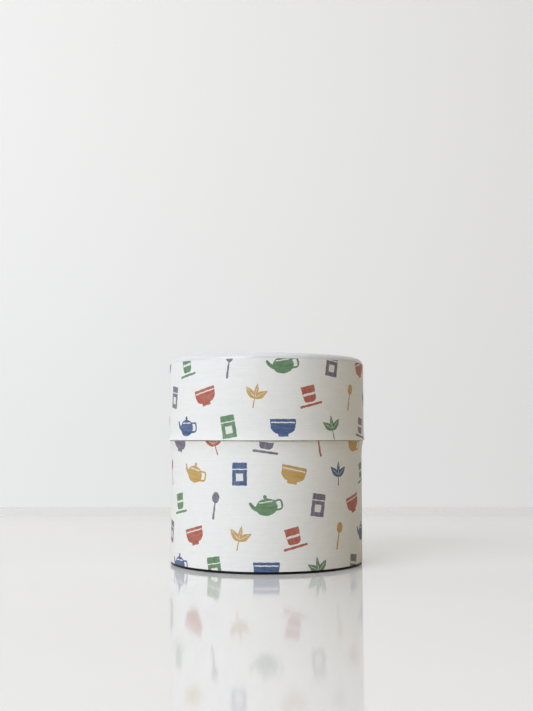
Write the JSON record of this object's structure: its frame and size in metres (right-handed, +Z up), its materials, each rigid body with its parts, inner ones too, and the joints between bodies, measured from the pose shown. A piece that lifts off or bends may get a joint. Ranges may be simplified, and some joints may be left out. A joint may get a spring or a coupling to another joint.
{
  "type": "tea caddy",
  "caption": "Short round paper-covered tinplate tea caddy: pull-off outer lid, sleeve neck and a knobbed inner lid that seals the tea chamber.",
  "frame": {"origin": "centre of the foot, on the surface that the caddy stands on", "axes": "+Z up along the can's axis, through the lid; the can is round about Z, and +X and +Y are any two directions across it, with -Y towards the side shown in front"},
  "size_m": [0.0808, 0.0808, 0.0828],
  "materials": {
    "tinplate": "satin",
    "washi_paper": "matte",
    "white_enamel": "satin",
    "black_enamel": "satin",
    "black_plastic": "satin"
  },
  "bodies": {
    "can": {"base_plate": "black_enamel", "body_barrel": "tinplate", "body_paper": "washi_paper", "neck_sleeve": "tinplate"},
    "outer_lid": {"lid_barrel": "tinplate", "lid_paper": "washi_paper", "lid_top": "white_enamel"},
    "inner_lid": {"inner_lid_pan": "tinplate", "inner_lid_knob": "black_plastic", "knob_rivet": "tinplate"}
  },
  "joints": [
    {"name": "lid_lift", "type": "slide", "parent": "can", "child": "outer_lid", "axis": [0, 0, 1], "range_m": [0, 0.1]},
    {"name": "inner_lid_lift", "type": "slide", "parent": "can", "child": "inner_lid", "axis": [0, 0, 1], "range_m": [0, 0.045]}
  ],
  "couplings": [
    {"joint": "inner_lid_lift", "follows": "lid_lift", "ratio": 0.45}
  ]
}
